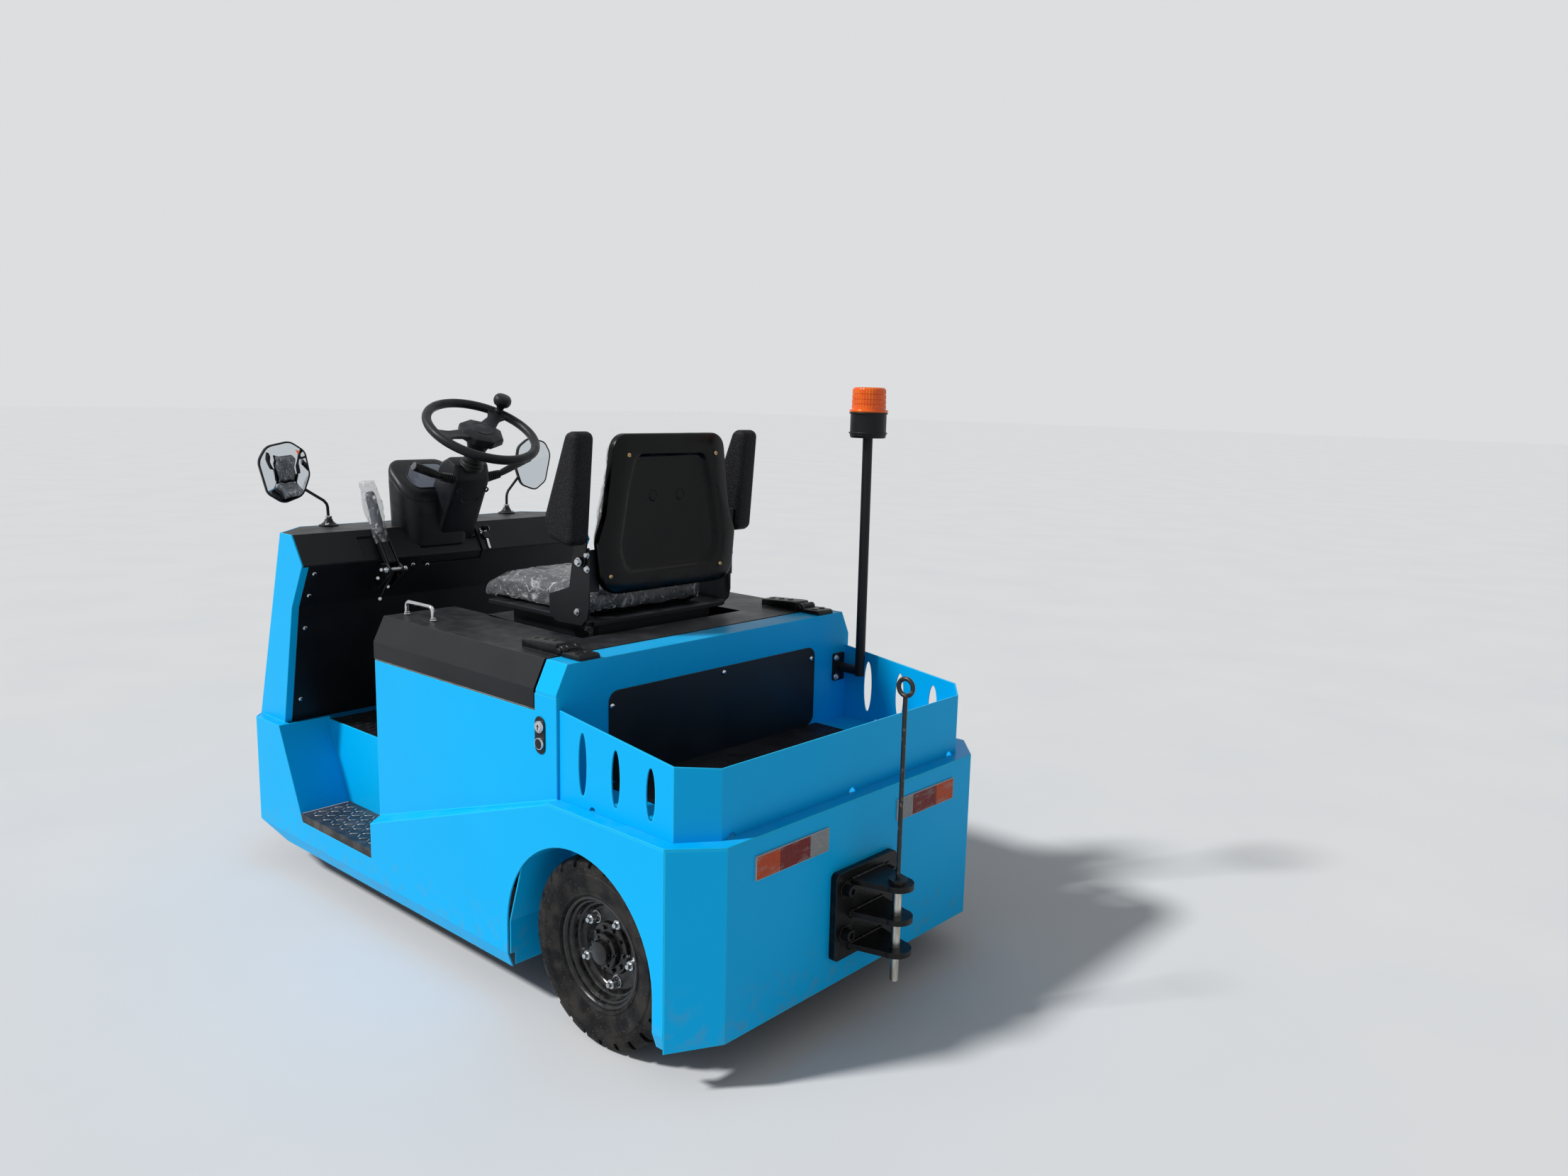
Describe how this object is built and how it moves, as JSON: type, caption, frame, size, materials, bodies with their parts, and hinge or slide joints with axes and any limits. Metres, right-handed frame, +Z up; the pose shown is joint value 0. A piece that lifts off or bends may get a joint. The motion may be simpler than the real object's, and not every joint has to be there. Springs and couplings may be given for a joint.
{
  "type": "three-wheel electric baggage tug",
  "caption": "Sit-on electric baggage tug with a luggage tray, hinged seat hood, footwell, steered front wheel, driven rear wheels and a stepped pin hitch.",
  "frame": {"origin": "on the ground under the middle of the whole tug's box", "axes": "+X forward, +Y to the driver's left, +Z up"},
  "size_m": [2.0534, 1.032, 1.39],
  "materials": {
    "black_steel": "satin",
    "battery": "matte",
    "blue_paint": "gloss",
    "black_coat": "satin powder coat",
    "floor_rubber": "matte",
    "black_plastic": "matte",
    "lever_steel": "zinc plated",
    "lamp_glass": "clear",
    "lamp_red": "gloss",
    "amber_lens": "gloss",
    "chrome": "polished",
    "seat_vinyl": "satin",
    "arm_foam": "grained",
    "rim_paint": "gloss",
    "tyre_rubber": "matte",
    "zinc": "zinc plated"
  },
  "bodies": {
    "body": {"chassis_frame": "black_steel", "rear_axle": "black_steel", "battery_box": "battery", "body_sides": "blue_paint", "rear_skirt": "blue_paint", "nose_shell": "blue_paint", "tray_deck": "blue_paint", "tray_walls": "blue_paint", "tray_mat": "black_coat", "bulkhead": "blue_paint", "bulkhead_cover": "black_coat", "wheel_boxes": "blue_paint", "floor_plate": "floor_rubber", "step_treads": "black_coat", "knee_panel": "black_coat", "cowl_top": "black_coat", "steering_column": "black_plastic", "instrument_pod": "black_plastic", "brake_lever": "lever_steel", "pedals": "floor_rubber", "headlamps": "lamp_glass", "tail_lamps": "lamp_red", "mirrors": "black_plastic", "inching_switches": "black_plastic", "hinge_leaves": "black_steel", "hitch": "black_steel", "beacon_pole": "black_steel", "beacon_lens": "amber_lens"},
    "hood": {"hood": "black_coat", "grab_handle": "chrome", "seat_frame": "black_steel", "seat_cushion": "seat_vinyl", "seat_back_shell": "black_coat", "seat_back_cushion": "seat_vinyl"},
    "arm_left": {"armrest_left": "arm_foam"},
    "arm_right": {"armrest_right": "arm_foam"},
    "steering": {"steering_wheel": "black_plastic"},
    "fork": {"fork": "black_steel"},
    "front_wheel": {"front_rim": "rim_paint", "front_tyre": "tyre_rubber"},
    "rear_left": {"rear_rim_left": "rim_paint", "rear_tyre_left": "tyre_rubber"},
    "rear_right": {"rear_rim_right": "rim_paint", "rear_tyre_right": "tyre_rubber"},
    "pin": {"tow_pin": "zinc"}
  },
  "joints": [
    {"name": "hood_hinge", "type": "hinge", "parent": "body", "child": "hood", "pos_m": [-0.37825, 0, 0.809], "axis": [0, -1, 0], "range_deg": [0, 70]},
    {"name": "arm_left_hinge", "type": "hinge", "parent": "hood", "child": "arm_left", "pos_m": [-0.22625, 0.24, 0.971], "axis": [0, 1, 0], "range_deg": [0, 95]},
    {"name": "arm_right_hinge", "type": "hinge", "parent": "hood", "child": "arm_right", "pos_m": [-0.22625, -0.24, 0.971], "axis": [0, 1, 0], "range_deg": [0, 95]},
    {"name": "fork_steer", "type": "hinge", "parent": "body", "child": "fork", "pos_m": [0.81875, 0, 0.41], "axis": [0, 0, 1], "range_deg": [-75, 75]},
    {"name": "wheel_steer", "type": "hinge", "parent": "body", "child": "steering", "pos_m": [0.51675, 0, 1.243], "axis": [-0.4848, 0, 0.8746], "range_deg": [-450, 450]},
    {"name": "front_roll", "type": "hinge", "parent": "fork", "child": "front_wheel", "pos_m": [0.81875, 0, 0.19], "axis": [0, 1, 0], "continuous": true},
    {"name": "rear_left_roll", "type": "hinge", "parent": "body", "child": "rear_left", "pos_m": [-0.58125, 0.446, 0.2075], "axis": [0, 1, 0], "continuous": true},
    {"name": "rear_right_roll", "type": "hinge", "parent": "body", "child": "rear_right", "pos_m": [-0.58125, -0.446, 0.2075], "axis": [0, 1, 0], "continuous": true},
    {"name": "pin_lift", "type": "slide", "parent": "body", "child": "pin", "axis": [0, 0, 1], "range_m": [0, 0.24]}
  ],
  "couplings": [
    {"joint": "wheel_steer", "follows": "fork_steer", "ratio": 6}
  ]
}
